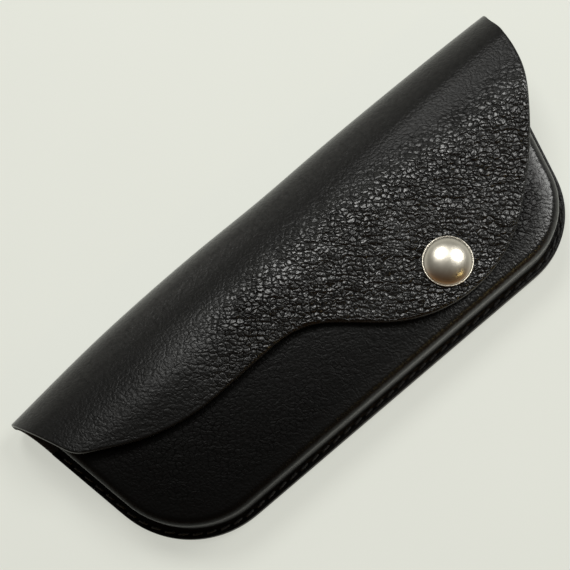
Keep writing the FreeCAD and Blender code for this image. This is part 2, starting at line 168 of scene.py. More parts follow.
def wobble(points, scale, seed):
    """Slow random values in -1..1 at 3D points in millimetres, features about scale apart."""
    shift = Vector((seed * 17.3, seed * 5.1, seed * 9.7))
    return np.array([noise.noise(Vector(point) / scale + shift) for point in points])


def distance_to_path(points, path):
    """Distance from each 2D point to a polyline."""
    best = np.full(len(points), np.inf)
    for start, end in zip(path[:-1], path[1:]):
        along = end - start
        share = np.clip((points - start) @ along / (along @ along), 0, 1)
        best = np.minimum(best, np.linalg.norm(points - start - share[:, None] * along, axis=1))
    return best


def inside_polygon(points, polygon):
    """Whether each 2D point is inside a closed polygon."""
    inside = np.zeros(len(points), bool)
    x, y = points[:, 0], points[:, 1]
    for (ax, ay), (bx, by) in zip(polygon, np.roll(polygon, -1, axis=0)):
        crosses = (ay > y) != (by > y)
        with np.errstate(divide="ignore", invalid="ignore"):
            inside ^= crosses & (x < ax + (y - ay) * (bx - ax) / (by - ay))
    return inside


def triangulate(points, edges):
    """Triangles of the region that the edges enclose, as indices of points."""
    _, _, faces, sources, _, _ = geometry.delaunay_2d_cdt(
        [Vector(point) for point in points], edges, [], 1, 1e-5)
    return [[sources[corner][0] for corner in face] for face in faces]


def edge_round(distance):
    """Share of the hide's half thickness that is left at a distance from its burnished edge."""
    share = np.clip(1 - distance / EDGE_RADIUS, 0, 1)
    return (1 - share ** 3) ** (1 / 3)


def new_object(name, points, faces):
    """Mesh object from points in millimetres."""
    mesh = bpy.data.meshes.new(name)
    mesh.from_pydata((np.asarray(points) * MM).tolist(), [], faces)
    mesh.validate()
    mesh.polygons.foreach_set("use_smooth", [True] * len(mesh.polygons))
    piece = bpy.data.objects.new(name, mesh)
    bpy.context.scene.collection.objects.link(piece)
    return piece


def vertex_normals(points, faces):
    """Smooth normals of a mesh, one for each point."""
    points = np.asarray(points, float)
    normals = np.zeros_like(points)
    for size in {len(face) for face in faces}:
        group = np.array([face for face in faces if len(face) == size])
        corners = points[group]
        cross = np.cross(corners[:, 1] - corners[:, 0], corners[:, -1] - corners[:, 0])
        if size == 4:
            cross += np.cross(corners[:, 3] - corners[:, 2], corners[:, 1] - corners[:, 2])
        for corner in range(size):
            np.add.at(normals, group[:, corner], cross)
    return normals / np.linalg.norm(normals, axis=1)[:, None]


EDGE_RADIUS = 0.55
EDGE_RINGS = [0, 0.01, 0.045, 0.11, 0.21, 0.36, 0.55]


class Hide:
    """A sheet of leather: points of its middle surface with their flat place and distance from the edge."""

    def __init__(self, middle, flat, distance, faces):
        self.middle = np.asarray(middle)
        self.flat = np.asarray(flat)
        self.distance = np.asarray(distance)
        self.faces = faces
        self.normals = vertex_normals(self.middle, faces)

    def thicken(self, outer_relief, inner_relief, depth):
        """Closed sheet: outer and inner points joined along the edge, where the thickness is nothing.

        Returns points, faces with their side (0 outer, 1 inner), and each point's flat place and grain depth.
        """
        count = len(self.middle)
        rounded = edge_round(self.distance) * HALF
        outer = self.middle + self.normals * (rounded + outer_relief)[:, None]
        inner = self.middle - self.normals * (rounded + inner_relief)[:, None]
        on_edge = self.distance <= 0
        index = np.where(on_edge, np.arange(count), 0)
        free = np.flatnonzero(~on_edge)
        index[free] = count + np.arange(len(free))
        points = np.concatenate([outer, inner[free]])
        faces = [(tuple(face), 0) for face in self.faces]
        faces += [(tuple(index[corner] for corner in reversed(face)), 1) for face in self.faces]
        flat = np.concatenate([self.flat, self.flat[free]])
        depths = np.concatenate([depth, depth[free]])
        return points, faces, flat, depths


def leather_object(name, points, faces, flat, depths, stretch, painted_spine_sheen, normals=None):
    """Leather piece whose points store the grain's flat place and depth, the stretch, and the painted sheen:
    a greyer base colour over the spine that stands in for its sheen.
    """
    piece = new_object(name, points, [face for face, _ in faces])
    mesh = piece.data
    place = mesh.attributes.new("grain_place", "FLOAT_VECTOR", "POINT")
    place.data.foreach_set("vector", np.column_stack([flat, np.zeros(len(flat))]).astype(np.float32).ravel())
    for attribute, values in (("grain_depth", depths), ("stretch", stretch), ("painted_spine_sheen", painted_spine_sheen)):
        layer = mesh.attributes.new(attribute, "FLOAT", "POINT")
        layer.data.foreach_set("value", np.asarray(values, np.float32))
    mesh.materials.append(MATERIALS["grain"])
    mesh.materials.append(MATERIALS["flesh"])
    mesh.polygons.foreach_set("material_index", [side for _, side in faces])
    if normals is not None:
        mesh.normals_split_custom_set_from_vertices(normals.tolist())
    return piece


# ---------------------------------------------------------------- materials

FOLD_ANGLE = math.radians(41)      # direction of the folds and of the long side of the pebbles, on the flap
PEBBLE_SIZE = (1.85, 1.2)          # length and width
FINE_GRAIN_SIZE = (0.95, 0.8)
FOLD_SIZE = (7.5, 1.9)


def add(nodes, kind, **values):
    """Shader node with properties and socket values given by name."""
    node = nodes.new(kind)
    for key, value in values.items():
        if hasattr(node, key):
            setattr(node, key, value)
        else:
            node.inputs[key.replace("_", " ")].default_value = value
    return node


class Tree:
    """Nodes of a material or world, with the steps that its shading repeats."""

    def __init__(self, owner):
        owner.use_nodes = True
        self.nodes = owner.node_tree.nodes
        self.links = owner.node_tree.links

    def maths(self, operation, first, second=None, clamp=False):
        """Math node whose inputs are sockets or numbers."""
        node = self.nodes.new("ShaderNodeMath")
        node.operation = operation
        node.use_clamp = clamp
        for socket, value in zip(node.inputs, (first, second)):
            if value is None:
                continue
            if isinstance(value, (int, float)):
                socket.default_value = value
            else:
                self.links.new(value, socket)
        return node.outputs[0]

    def map_range(self, value, source, target, kind="SMOOTHSTEP"):
        """A socket's value taken from one range to another."""
        mapped = add(self.nodes, "ShaderNodeMapRange", interpolation_type=kind)
        for name, limit in zip(("From Min", "From Max", "To Min", "To Max"), (*source, *target)):
            mapped.inputs[name].default_value = limit
        self.links.new(value, mapped.inputs["Value"])
        return mapped.outputs["Result"]

    def mix_colours(self, factor, first, second):
        """Mix, by a socket, of two colours that are sockets or linear values."""
        mix = self.nodes.new("ShaderNodeMix")
        mix.data_type = "RGBA"
        self.links.new(factor, mix.inputs["Factor"])
        for name, colour in (("A", first), ("B", second)):
            if isinstance(colour, tuple):
                mix.inputs[name].default_value = (*colour, 1)
            else:
                self.links.new(colour, mix.inputs[name])
        return mix.outputs["Result"]

    def texture(self, kind, place, **values):
        """Texture node of a kind, Noise or Voronoi, at the places that a socket gives."""
        made = add(self.nodes, "ShaderNodeTex" + kind, **values)
        self.links.new(place, made.inputs["Vector"])
        return made

    def stir(self, place, noise_node, reach):
        """Places moved by up to reach along x and y, by a noise's colour."""
        moved = self.nodes.new("ShaderNodeVectorMath")
        moved.operation = "MULTIPLY_ADD"
        moved.inputs[1].default_value = (reach, reach, 0)
        self.links.new(noise_node.outputs["Color"], moved.inputs[0])
        self.links.new(place, moved.inputs[2])
        return moved.outputs[0]

    def attribute(self, name, output="Fac"):
        """Value stored on the mesh's points."""
        return add(self.nodes, "ShaderNodeAttribute", attribute_name=name).outputs[output]

    def bump(self, shader, height, strength, distance):
        """Bump of a shader's surface, its distance in metres."""
        bump = add(self.nodes, "ShaderNodeBump", Strength=strength, Distance=distance)
        self.links.new(height, bump.inputs["Height"])
        self.links.new(bump.outputs["Normal"], shader.inputs["Normal"])


def new_material(name):
    """Material with its shading tree and its shader."""
    material = bpy.data.materials.new(name)
    tree = Tree(material)
    return material, tree, tree.nodes["Principled BSDF"]


def leather_grain():
    """Black full-grain leather: raised pebbles with creases between, over a fine grain."""
    material, tree, shader = new_material("black_pebbled_leather")
    place = tree.attribute("grain_place", "Vector")
    depth = tree.attribute("grain_depth")
    stretch = tree.attribute("stretch")
    painted_spine_sheen = tree.attribute("painted_spine_sheen")

    drift = tree.texture("Noise", place, Scale=0.28, Detail=2.0)
    ripple = tree.texture("Noise", place, Scale=1.0, Detail=1.0)
    rippled = tree.stir(tree.stir(place, drift, 2.6), ripple, 0.9)

    def grain_space(length, width):
        """Flat place in units of one grain, which lies along the folds."""
        mapping = tree.nodes.new("ShaderNodeMapping")
        mapping.vector_type = "TEXTURE"
        mapping.inputs["Rotation"].default_value = (0, 0, FOLD_ANGLE)
        mapping.inputs["Scale"].default_value = (length, width, 1)
        tree.links.new(rippled, mapping.inputs["Vector"])
        return mapping.outputs[0]

    cells = grain_space(*PEBBLE_SIZE)
    pebbles = tree.texture("Voronoi", cells, feature="DISTANCE_TO_EDGE", voronoi_dimensions="2D",
                           Scale=1.0, Randomness=0.85)
    domes = tree.texture("Voronoi", cells, feature="SMOOTH_F1", voronoi_dimensions="2D",
                         Scale=1.0, Randomness=0.85, Smoothness=0.12)
    roundness = tree.maths("POWER", domes.outputs["Distance"], 2.0)
    rounded = tree.maths("MULTIPLY", roundness, -1.5)
    valley = tree.map_range(pebbles.outputs["Distance"], (0.0, 0.20), (-0.55, 0.0))
    pebble_height = tree.maths("ADD", rounded, valley)

    fine = tree.texture("Voronoi", grain_space(*FINE_GRAIN_SIZE), feature="SMOOTH_F1",
                        voronoi_dimensions="2D", Scale=1.0, Smoothness=0.35)
    folds = tree.texture("Noise", grain_space(*FOLD_SIZE), Scale=1.0, Detail=1.0, Roughness=0.4,
                         noise_dimensions="2D")
    pores = tree.texture("Noise", place, Scale=5.0, Detail=3.0, Roughness=0.6)
    cloud = tree.texture("Noise", place, Scale=0.7, Detail=3.0, Roughness=0.6)

    fold_height = tree.maths("MULTIPLY", folds.outputs["Fac"], 2.9)
    height = tree.maths("ADD", pebble_height, fold_height)
    height = tree.maths("MULTIPLY", height, depth)
    relaxed = tree.maths("MULTIPLY_ADD", stretch, -0.25)
    relaxed.node.inputs[2].default_value = 1.0
    fine_height = tree.maths("MULTIPLY", fine.outputs["Distance"], -0.40)
    fine_height = tree.maths("MULTIPLY", fine_height, relaxed)
    height = tree.maths("ADD", height, fine_height)
    height = tree.maths("ADD", height, tree.maths("MULTIPLY", pores.outputs["Fac"], 0.06))
    tree.bump(shader, height, 1.0, 0.00018)

    crease = tree.map_range(pebbles.outputs["Distance"], (0.0, 0.17), (1.0, 0.0))
    shade = tree.maths("MULTIPLY", crease, depth, clamp=True)

    rough = tree.maths("MULTIPLY_ADD", cloud.outputs["Fac"], 0.12)
    rough.node.inputs[2].default_value = 0.20
    rough = tree.maths("ADD", rough, tree.maths("MULTIPLY", shade, 0.2))
    rough = tree.maths("ADD", rough, tree.maths("MULTIPLY", stretch, 0.10))
    tree.links.new(rough, shader.inputs["Roughness"])

    gloss = tree.maths("MULTIPLY_ADD", shade, -0.5)
    gloss.node.inputs[2].default_value = 0.62
    gloss = tree.maths("ADD", gloss, tree.maths("MULTIPLY", stretch, -0.45), clamp=True)
    tree.links.new(gloss, shader.inputs["Specular IOR Level"])

    # Painted shade: the base colour is darker in the creases between the pebbles.
    tint = tree.mix_colours(shade, (0.0022, 0.0021, 0.0020), (0.0008, 0.0008, 0.0009))
    # Painted sheen: the base colour is greyed in mottled patches over the spine's middle, in place of the
    # sheen that lights it.
    sheen_share = tree.maths("MULTIPLY", painted_spine_sheen, cloud.outputs["Fac"])
    sheen_painted_colour = tree.mix_colours(sheen_share, tint, (0.036, 0.035, 0.033))
    tree.links.new(sheen_painted_colour, shader.inputs["Base Color"])
    return material


def leather_flesh():
    """Inner side of the hide: short dark nap."""
    material, tree, shader = new_material("black_flesh_side")
    place = tree.attribute("grain_place", "Vector")
    nap = tree.texture("Noise", place, Scale=4.5, Detail=6.0, Roughness=0.75)
    tufts = tree.texture("Noise", place, Scale=0.9, Detail=5.0, Roughness=0.7)
    patches = tree.texture("Noise", place, Scale=0.12, Detail=3.0)
    height = tree.maths("ADD", nap.outputs["Fac"], tufts.outputs["Fac"])
    tree.bump(shader, height, 0.9, 0.00022)
    mottle = tree.maths("ADD", patches.outputs["Fac"], tufts.outputs["Fac"])
    spread = tree.map_range(mottle, (0.7, 1.3), (0.0, 1.0), "LINEAR")
    tint = tree.mix_colours(spread, (0.006, 0.0055, 0.005), (0.030, 0.027, 0.025))
    tree.links.new(tint, shader.inputs["Base Color"])
    shader.inputs["Roughness"].default_value = 0.92
    shader.inputs["Sheen Weight"].default_value = 0.12
    shader.inputs["Sheen Roughness"].default_value = 0.6
    return material


def nickel(name, colour, roughness):
    """Plated metal with faint fine scratches."""
    material, tree, shader = new_material(name)
    where = tree.nodes.new("ShaderNodeTexCoord").outputs["Object"]
    haze = tree.texture("Noise", where, Scale=900.0, Detail=4.0).outputs["Fac"]
    spread = tree.map_range(haze, (0.0, 1.0), (roughness - 0.04, roughness + 0.06), "LINEAR")
    tree.links.new(spread, shader.inputs["Roughness"])
    shader.inputs["Base Color"].default_value = (*colour, 1)
    shader.inputs["Metallic"].default_value = 1.0
    tree.bump(shader, haze, 0.02, 0.00002)
    return material


def waxed_thread():
    """Black waxed thread."""
    material, tree, shader = new_material("black_waxed_thread")
    where = tree.nodes.new("ShaderNodeTexCoord").outputs["Object"]
    fibres = tree.texture("Noise", where, Scale=9000.0, Detail=3.0)
    tree.bump(shader, fibres.outputs["Fac"], 0.5, 0.00005)
    shader.inputs["Base Color"].default_value = (0.006, 0.006, 0.006, 1)
    shader.inputs["Roughness"].default_value = 0.6
    shader.inputs["Sheen Weight"].default_value = 0.08
    return material


def paper():
    """Pale matt surface under the case."""
    material, tree, shader = new_material("pale_surface")
    where = tree.nodes.new("ShaderNodeTexCoord").outputs["Object"]
    mottle = tree.texture("Noise", where, Scale=14.0, Detail=4.0)
    tint = tree.mix_colours(mottle.outputs["Fac"], (0.28, 0.288, 0.265), (0.31, 0.318, 0.295))
    tree.links.new(tint, shader.inputs["Base Color"])
    shader.inputs["Roughness"].default_value = 0.7
    shader.inputs["Emission Color"].default_value = (0.98, 1.0, 0.91, 1)
    shader.inputs["Emission Strength"].default_value = 0.51
    return material


MATERIALS = {
    "grain": leather_grain(),
    "flesh": leather_flesh(),
    "nickel": nickel("bright_nickel", (0.66, 0.62, 0.54), 0.31),
    "wire": nickel("spring_wire", (0.55, 0.54, 0.52), 0.3),
    "thread": waxed_thread(),
    "surface": paper(),
}

# ---------------------------------------------------------------- back panel, spine and flap in one sheet

ROW_STEPS = 6                      # rows of points between two split lines of the spine
ROW_PITCH = ROLL_LENGTH / HINGE_COUNT / ROW_STEPS
SHEET_RINGS = EDGE_RINGS + [0.85, 1.1, 1.35, 1.6, 1.85, 2.3]
CREASE_AT = 1.35                   # line pressed along the flap's edge
CREASE_DEPTH = 0.02
FOLD_RELIEF = 0.07                 # drawn folds round the cap


def side_of_roll(back_end, back_slope, flap_end, flap_slope):
    """x of the sheet's end along the roll, from the back panel to the flap, with a flare in the middle."""
    rows = HINGE_COUNT * ROW_STEPS
    share = np.arange(1, rows) / rows
    cubic = ((2 * share ** 3 - 3 * share ** 2 + 1) * back_end
             + (share ** 3 - 2 * share ** 2 + share) * ROLL_LENGTH * back_slope
             + (3 * share ** 2 - 2 * share ** 3) * flap_end
             + (share ** 3 - share ** 2) * ROLL_LENGTH * flap_slope)
    middle = (back_end + flap_end) / 2 + (back_slope - flap_slope) * ROLL_LENGTH / 8
    flare = math.copysign(SPINE_REACH, middle) - middle
    return cubic + flare * np.sin(np.pi * share) ** 2, share * ROLL_LENGTH


def slope_at(path, end):
    """dx/dy of a path near one of its ends."""
    near, far = (path[0], path[3]) if end == 0 else (path[-1], path[-4])
    return (near[0] - far[0]) / (near[1] - far[1])


def sheet_boundary():
    """Closed edge of the unrolled sheet as (x, along), along being 0 where the back meets the roll."""
    back = resample(free_side("back_panel", 0.0, ROLL_Y), 1.3)
    flap = resample(free_side("flap", FLAP_TOP, ROLL_Y), 0.95)
    right_x, rows = side_of_roll(back[-1][0], slope_at(back, 1), flap[-1][0], -slope_at(flap, 1))
    left_x, _ = side_of_roll(back[0][0], slope_at(back, 0), flap[0][0], -slope_at(flap, 0))
    parts = [
        np.column_stack([back[:, 0], back[:, 1] - ROLL_Y]),
        np.column_stack([right_x, rows]),
        np.column_stack([flap[::-1, 0], ROLL_LENGTH + ROLL_Y - flap[::-1, 1]]),
        np.column_stack([left_x[::-1], rows[::-1]]),
    ]
    return np.concatenate(parts)


def ring_directions(boundary):
    """Inward direction for each boundary point, level with the rows where the sheet is rolled."""
    along = np.roll(boundary, -1, axis=0) - np.roll(boundary, 1, axis=0)
    normal = np.stack([-along[:, 1], along[:, 0]], 1)
    normal /= np.linalg.norm(normal, axis=1)[:, None]
    level = np.stack([-np.sign(boundary[:, 0]), np.zeros(len(boundary))], 1)
    past = np.maximum(-boundary[:, 1], boundary[:, 1] - ROLL_LENGTH)
    weight = 1 - smooth_step(0.3, 7.0, past)
    mixed = level * weight[:, None] + normal * (1 - weight)[:, None]
    return mixed / np.linalg.norm(mixed, axis=1)[:, None]


def sheet_layout():
    """Flat points, distances from the edge and faces of the unrolled sheet."""
    boundary = sheet_boundary()
    inward = ring_directions(boundary)
    count = len(boundary)
    rings = [boundary + inward * ring for ring in SHEET_RINGS]
    points = np.concatenate(rings)
    distance = np.repeat(SHEET_RINGS, count)
    faces = []
    for ring in range(len(SHEET_RINGS) - 1):
        for place in range(count):
            after = (place + 1) % count
            low, high = ring * count, (ring + 1) * count
            faces.append((low + place, low + after, high + after, high + place))
    inner = rings[-1]
    grid = []
    rows = {}
    for row in range(1, HINGE_COUNT * ROW_STEPS):
        level = row * ROW_PITCH
        matches = np.flatnonzero((np.abs(inner[:, 1] - level) < 1e-6))
        left, right = matches[np.argmin(inner[matches, 0])], matches[np.argmax(inner[matches, 0])]
        room = inner[right, 0] - inner[left, 0]
        columns = int(room / 1.9)
        xs = inner[left, 0] + room * np.arange(1, columns) / columns
        rows[row] = (left, right, len(grid))
        grid += [(x, level) for x in xs]
        rows[row] += (len(grid),)
    outside = []
    on_back = (boundary[:, 1].min(), -0.5, 2.3)
    on_flap = (ROLL_LENGTH + 0.7, boundary[:, 1].max(), 1.05)
    for low, high, step in (on_back, on_flap):
        levels = np.arange(high, low, -step) if low < 0 else np.arange(low, high, step)
        for index, level in enumerate(levels):
            shift = step / 2 * (index % 2)
            outside += [(x, level) for x in np.arange(-90 + shift, 91, step * 1.1)]
    outside = np.array(outside)
    keep = inside_polygon(outside, inner)
    outside = outside[keep]
    outside = outside[distance_to_path(outside, np.vstack([inner, inner[:1]])) > 0.65]
    free = np.concatenate([np.array(grid), outside])
    edges = [(place, (place + 1) % count) for place in range(count)]
    for row, (left, right, first, last) in rows.items():
        if row % ROW_STEPS == 0:
            chain = [left] + [count + index for index in range(first, last)] + [right]
            edges += list(zip(chain[:-1], chain[1:]))
    cdt_points = np.concatenate([inner, free])
    offset = len(points) - count
    for face in triangulate(cdt_points, edges):
        faces.append(tuple(offset + corner for corner in face))
    points = np.concatenate([points, free])
    edge = np.vstack([boundary, boundary[:1]])
    distance = np.concatenate([distance, distance_to_path(free, edge)])
    return points, distance, faces


TIGHT_TURN = math.radians(148)     # the hide turns this far round the spine, and the rest over the flap
SOFT_LENGTH = 24.0                 # length of hide over which the rest of the turn is spread
RISE = 2 * ROLL_RADIUS             # from the back panel's middle surface to the flap's
SOFT_RADIUS = SOFT_LENGTH / (math.pi - TIGHT_TURN)
TIGHT_RADIUS = (RISE - SOFT_RADIUS * (1 + math.cos(TIGHT_TURN))) / (1 - math.cos(TIGHT_TURN))
TIGHT_Y = ROLL_BACK_Y - TIGHT_RADIUS
RIDGE_Y = TIGHT_Y + (TIGHT_RADIUS - SOFT_RADIUS) * math.sin(TIGHT_TURN)
TURN_LENGTH = TIGHT_Y - ROLL_Y + TIGHT_RADIUS * TIGHT_TURN + SOFT_LENGTH
FLAT_TURN_LENGTH = ROLL_LENGTH + ROLL_Y - RIDGE_Y
BACK_WALK = TIGHT_Y - ROLL_Y + TIGHT_RADIUS * math.pi / 2    # along the hide to the back of the spine
UNDERSIDE_POWER = 9                # keeps the spine's bow off its underside, which lies flat when it opens

SETTLED = 0.75                     # fall of the flap's middle on to the pocket
CAP_DIP = 0.22                     # fall of the flap under the cap
SNAP_SWELL = 0.25                  # rise of the hide round the cap, on the spine's side
RIDGE_RISE = 0.9                   # rise of the flap past the spine
RIGHT_FALL = 0.8                   # fall of the flap past the spine's right end
FULLEST_BOW = 1.3                  # how far the spine's middle stands out past the even roll
END_DRAW = 2.5                     # how far its ends are drawn in from that
SPREAD = 1.35                      # further reach of the flap's right end


def flap_height(x, y):
    """Change of the flap's height: a ridge past the spine, a settled middle and a dip under the cap."""
    from_snap = np.hypot(x - SNAP[0], y - SNAP[1])
    over = smooth_step(0, 22, 10.6 - y)
    settle = -SETTLED * over * (1 - bell(from_snap, 30))
    dip = -CAP_DIP * (1 - smooth_step(CAP_RADIUS, CAP_RADIUS + 6, from_snap))
    swell = SNAP_SWELL * bell(from_snap - 18, 7) * smooth_step(-12, 8, y - SNAP[1])
    past_spine = ROLL_Y - 0.5 - y - 6 * smooth_step(10, 85, x)
    ridge = RIDGE_RISE * smooth_step(0, 13, past_spine) * (1 - smooth_step(13.5, 43.5, past_spine))
    ridge *= 0.5 + 0.5 * smooth_step(-40, 20, x)
    share = np.clip((ROLL_Y - y) / 20, 0, 1)
    shoulder = -RIGHT_FALL * smooth_step(10, 75, x) * np.sin(np.pi * share ** 0.8) ** 2
    return settle + dip + swell + shoulder + ridge


def spine_bow(x):
    """How far the spine stands out past the even roll: fullest left of its middle, least at both ends."""
    share = x / SPINE_REACH
    bow = FULLEST_BOW - END_DRAW * np.abs(share) ** 2.6 - 0.42 * np.sin(math.pi * share)
    return bow - 0.45 * bell(x - 5, 18) - 0.45 * smooth_step(50, 90, -x)


def end_spread(x, along):
    """How much further the flap's right end reaches, where the hide is stretched round the spine's end."""
    over = smooth_step(ROLL_LENGTH - 10, ROLL_LENGTH - 2, along)
    over *= 1 - smooth_step(ROLL_LENGTH + 8, ROLL_LENGTH + 34, along)
    return SPREAD * smooth_step(55, 86, x) * over


def roll_sheet(flat):
    """Place of the unrolled sheet's middle surface on the closed case: a tight turn, then a soft one."""
    x, along = flat[:, 0], flat[:, 1]
    walked = np.clip(along, 0, FLAT_TURN_LENGTH) * TURN_LENGTH / FLAT_TURN_LENGTH
    tight_walk = np.clip(walked - (TIGHT_Y - ROLL_Y), 0, TIGHT_RADIUS * TIGHT_TURN)
    soft_walk = np.clip(walked - (TURN_LENGTH - SOFT_LENGTH), 0, SOFT_LENGTH)
    tight = tight_walk / TIGHT_RADIUS
    soft = TIGHT_TURN + soft_walk / SOFT_RADIUS
    y = ROLL_Y + np.minimum(walked, TIGHT_Y - ROLL_Y) + TIGHT_RADIUS * np.sin(tight)
    y += SOFT_RADIUS * (np.sin(soft) - math.sin(TIGHT_TURN))
    y += np.minimum(along, 0) - np.maximum(along - FLAT_TURN_LENGTH, 0)
    z = ROLL_Z - ROLL_RADIUS + TIGHT_RADIUS * (1 - np.cos(tight))
    z += SOFT_RADIUS * (math.cos(TIGHT_TURN) - np.cos(soft))
    fullness = np.sin(math.pi * np.minimum(walked / (2 * BACK_WALK), 1))
    bow = spine_bow(x) * fullness ** np.where(walked < BACK_WALK, UNDERSIDE_POWER, 2)
    slope = tight + soft_walk / SOFT_RADIUS
    y += bow * np.sin(slope)
    z -= bow * np.cos(slope)
    z += np.where(along > ROLL_LENGTH, flap_height(x, y), 0)
    return np.column_stack([x + end_spread(x, along), y, z])


def flap_relief(flat, distance, middle):
    """Outer relief of the sheet: the crease along the flap's edge and drawn folds beside the snap."""
    on_flap = smooth_step(ROLL_LENGTH - 12, ROLL_LENGTH + 2, flat[:, 1])
    relief = -CREASE_DEPTH * bell(distance - CREASE_AT, 0.25) * on_flap
    offset = middle[:, :2] - SNAP
    radius = np.hypot(offset[:, 0], offset[:, 1])
    angle = np.arctan2(offset[:, 1], offset[:, 0])
    spokes = np.sin(angle * 11 + 2.5 * np.sin(angle * 3)) * (flat[:, 1] > ROLL_LENGTH)
    relief += FOLD_RELIEF * spokes * smooth_step(7.5, 10, radius) * bell(radius - 10, 7)
    return relief


def smooth_zone(flat):
    """1 where the hide is stretched smooth over the spine, 0 on the flap and the back."""
    x, along = flat[:, 0], flat[:, 1]
    edge_y = 18.6 - 6.5 * smooth_step(-10, 85, x) + 1.2 * np.sin(x / 13.0)
    edge = ROLL_LENGTH + ROLL_Y - edge_y
    return smooth_step(-1, 8, along) * (1 - smooth_step(-7.0, 6.0, along - edge))


def calmness(flat):
    """How matt and smooth the hide is rubbed: beside the roll, and towards the case's left end."""
    left = 0.95 * (1 - smooth_step(-60, 5, flat[:, 0]))
    polished = 0.9 * bell(flat[:, 1] - ROLL_LENGTH / 2, 9)
    return np.maximum(smooth_zone(flat), left) * (1 - polished)


def grain_strength(flat, distance):
    """How raised the pebbles are: none on the stretched spine and at the edge, most round the snap."""
    x, along = flat[:, 0], flat[:, 1]
    across = smooth_step(-48, -8, x + 0.55 * (along - ROLL_LENGTH - 12))
    on_flap = along > ROLL_LENGTH / 2
    strength = np.where(on_flap, 0.10 + 0.90 * across, 0.45)
    patch = wobble(np.column_stack([flat, np.zeros(len(flat))]), 11, 3)
    strength = strength * (1 + 0.35 * patch) * (1 - smooth_zone(flat))
    return strength * smooth_step(0.25, 1.0, distance)


def make_sheet():
    """Seven pieces of one sheet, split at the middles of the strips, each taking the place of the CAD nodes
    it hides.
    """
    flat, distance, faces = sheet_layout()
    middle = roll_sheet(flat)
    faces = [face[::-1] for face in faces]
    hide = Hide(middle, flat, distance, faces)
    relief = flap_relief(flat, distance, middle)
    depth = grain_strength(flat, distance)
    points, sided, flat, depths = hide.thicken(relief, np.zeros(len(relief)), depth)
    stretch = calmness(flat)
    # Painted sheen: share of greyer base colour over the spine's middle, standing in for its sheen.
    painted_spine_sheen = 1.6 * bell(flat[:, 1] - ROLL_LENGTH / 2, 11)
    normals = vertex_normals(points, [face for face, _ in sided])
    replaced = [["back_panel"]] + [[f"spine_strip_{number}"] for number in range(1, HINGE_COUNT - 1)]
    replaced.append([f"spine_strip_{HINGE_COUNT - 1}", "flap"])
    names = ["back_leather"] + [f"spine_leather_{number}" for number in range(1, HINGE_COUNT - 1)]
    names.append("flap_leather")
    pitch = ROLL_LENGTH / HINGE_COUNT
    centres = np.array([np.mean([flat[corner][1] for corner in face]) for face, _ in sided])
    part = np.clip(np.floor(centres / pitch), 0, HINGE_COUNT - 1).astype(int)
    for number in range(HINGE_COUNT):
        chosen = [sided[index] for index in np.flatnonzero(part == number)]
        used = sorted({corner for face, _ in chosen for corner in face})
        renumbered = {corner: index for index, corner in enumerate(used)}
        local = [(tuple(renumbered[corner] for corner in face), side) for face, side in chosen]
        piece = leather_object(names[number], points[used], local, flat[used], depths[used], stretch[used],
                               painted_spine_sheen[used], normals[used])
        start, end = (roll_sheet(np.array([[-SPINE_REACH, level * pitch]]))[0] * MM
                      for level in (number, number + 1))
        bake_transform(piece)
        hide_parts(*replaced[number])


make_sheet()

# ---------------------------------------------------------------- moulded front panel

FLANGE_MIDDLE = LEATHER + HALF
VALLEY_RADIUS = 1.6
SHOULDER_RADIUS = 1.9
SHOULDER_TURN = math.radians(84)
CROWN = 1.25                       # rise of the moulded top towards its middle
CROWN_REACH = 24.0
STUD_SEAT = 0.26                   # how far the hide is pressed down round the stud
GROOVE_DEPTH = 0.22                # groove that the stitches lie in


def wall_insets(path, inward):
    """Distance from each point of the seam edge in to the moulded wall, cut half way up."""
    corners = triangles("front_panel")
    height = (FRONT_TOP + LEATHER) / 2
    segments = []
    for triangle in corners:
        above = triangle[:, 2] > height
        if above.all() or not above.any():
            continue
        crossing = []
        for start, end in ((0, 1), (1, 2), (2, 0)):
            if above[start] != above[end]:
                share = (height - triangle[start, 2]) / (triangle[end, 2] - triangle[start, 2])
                crossing.append(triangle[start, :2] + share * (triangle[end, :2] - triangle[start, :2]))
        segments.append(crossing)
    first = np.array([segment[0] for segment in segments])
    step = np.array([segment[1] for segment in segments]) - first
    insets = []
    for point, direction in zip(path, inward):
        cross = direction[0] * step[:, 1] - direction[1] * step[:, 0]
        cross[np.abs(cross) < 1e-9] = 1e-9
        away = first - point
        reach = (away[:, 0] * step[:, 1] - away[:, 1] * step[:, 0]) / cross
        share = (away[:, 0] * direction[1] - away[:, 1] * direction[0]) / cross
        hits = reach[(reach > 0.5) & (share > -1e-3) & (share < 1.001)]
        insets.append(hits.min() if len(hits) else np.nan)
    insets = np.array(insets)
    known = np.flatnonzero(~np.isnan(insets))
    return np.interp(np.arange(len(insets)), known, insets[known])


def front_path():
    """Seam edge of the front from mouth to mouth, with close points at the mouth's burnished edge."""
    outline = free_side("back_panel", 0.0, ROLL_Y)
    dense = resample(outline, 0.2)
    dense = dense[dense[:, 1] < MOUTH_Y]
    lengths = np.concatenate([[0], np.cumsum(np.linalg.norm(np.diff(dense, axis=0), axis=1))])
    ends = np.array(EDGE_RINGS + [1.1, 1.7])
    middle = np.linspace(ends[-1] + 1.0, lengths[-1] - ends[-1] - 1.0, int(lengths[-1] / 1.25))
    wanted = np.concatenate([ends, middle, lengths[-1] - ends[::-1]])
    path = np.stack([np.interp(wanted, lengths, dense[:, axis]) for axis in range(2)], 1)
    for index, gap in enumerate(ends):
        path[index, 1] = MOUTH_Y - gap
        path[-1 - index, 1] = MOUTH_Y - gap
    return path, len(ends)


